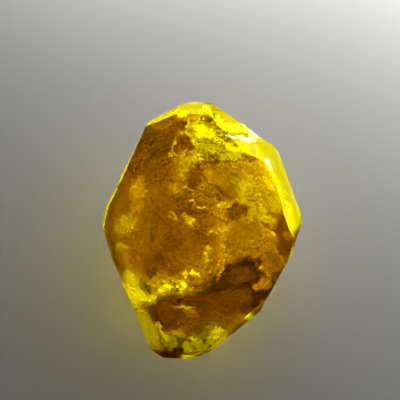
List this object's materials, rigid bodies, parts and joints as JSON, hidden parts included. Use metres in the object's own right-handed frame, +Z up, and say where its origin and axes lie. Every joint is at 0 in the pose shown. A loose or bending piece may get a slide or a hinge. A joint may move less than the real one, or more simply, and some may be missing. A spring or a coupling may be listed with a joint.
{
  "type": "garnet crystal",
  "caption": "Loose clear honey-yellow grossular garnet crystal, flat natural faces at the back and sides and a broken, hackly front, lying on its largest face.",
  "frame": {"origin": "under the middle of the crystal, on the surface that it lies on", "axes": "+Z up out of the broken front, +Y along the crystal towards its thick end, +X across it"},
  "size_m": [0.0364, 0.046, 0.024],
  "materials": {
    "garnet": "glossy, see-through, honey yellow where thin and brown amber where thick"
  },
  "bodies": {
    "root": {"garnet_crystal": "garnet"}
  },
  "joints": []
}
